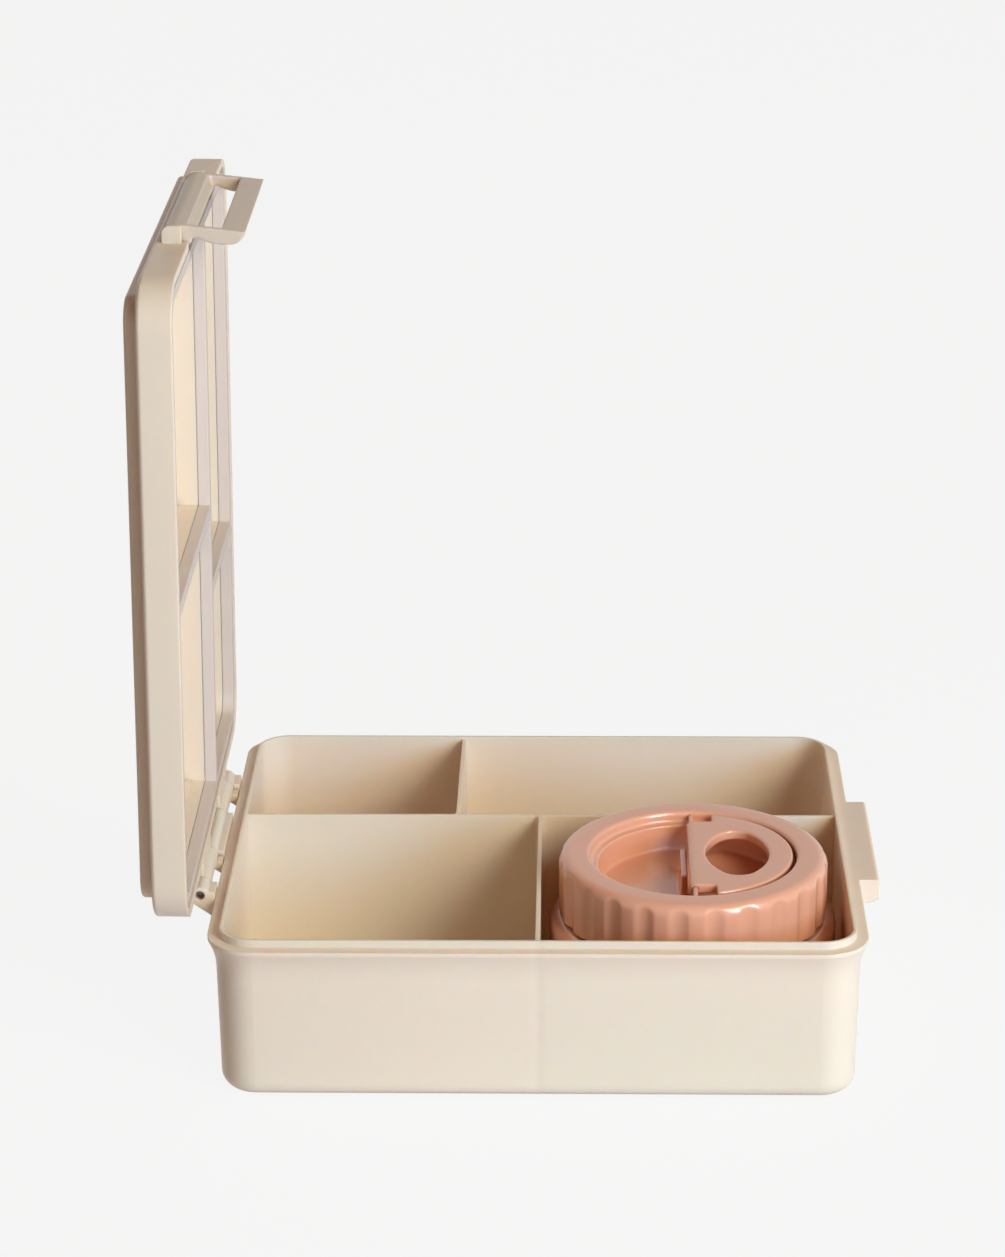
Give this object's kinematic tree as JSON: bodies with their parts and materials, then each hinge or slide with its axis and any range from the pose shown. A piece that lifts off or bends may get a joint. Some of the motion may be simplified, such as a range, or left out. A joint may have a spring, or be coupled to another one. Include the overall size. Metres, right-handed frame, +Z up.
{
  "type": "lunch box",
  "caption": "Compartment lunch box with a side-hinged gasketed lid, a pivoting snap latch and a screw-top food jar with a folding handle.",
  "frame": {"origin": "centre of the tub's flat underside", "axes": "+X towards the latch, -X towards the hinge, +Y towards the long narrow compartments, +Z up"},
  "size_m": [0.2354, 0.1808, 0.272],
  "materials": {
    "tub_plastic": "semi-gloss",
    "lid_plastic": "semi-gloss",
    "silicone": "matt",
    "jar_plastic": "gloss",
    "plug_plastic": "matt",
    "steel": "brushed"
  },
  "bodies": {
    "box": {"base_tub": "tub_plastic", "hinge_pin": "steel"},
    "lid": {"lid_shell": "lid_plastic", "lid_seal": "silicone", "latch_pin": "steel"},
    "latch": {"latch": "lid_plastic"},
    "jar": {"jar_shell": "jar_plastic", "jar_base": "jar_plastic", "jar_liner": "steel"},
    "cap_gasket": {"jar_cap_seal": "silicone"},
    "cap": {"jar_cap": "jar_plastic", "jar_cap_plug": "plug_plastic", "jar_handle_pins": "jar_plastic"},
    "handle": {"jar_handle": "jar_plastic"}
  },
  "joints": [
    {"name": "lid_hinge", "type": "hinge", "parent": "box", "child": "lid", "pos_m": [-0.1093, 0, 0.0537], "axis": [0, -1, 0], "range_deg": [-89.4, 0]},
    {"name": "latch_pivot", "type": "hinge", "parent": "lid", "child": "latch", "pos_m": [-0.11076, 0, 0.26743], "axis": [0, -1, 0], "range_deg": [0, 90]},
    {"name": "jar_lift", "type": "slide", "parent": "box", "child": "jar", "axis": [0, 0, 1], "range_m": [0, 0.09]},
    {"name": "jar_cap_lift", "type": "slide", "parent": "jar", "child": "cap_gasket", "axis": [0, 0, 1], "range_m": [0, 0.0241]},
    {"name": "jar_cap_turn", "type": "hinge", "parent": "cap_gasket", "child": "cap", "pos_m": [0.0501, -0.03465, 0.055], "axis": [0, 0, 1], "range_deg": [0, 720]},
    {"name": "handle_fold", "type": "hinge", "parent": "cap", "child": "handle", "pos_m": [0.0501, -0.03465, 0.06142], "axis": [0, -1, 0], "range_deg": [0, 90]}
  ],
  "couplings": [
    {"joint": "jar_cap_lift", "follows": "jar_cap_turn", "m_per_rad": 0.0019099}
  ]
}
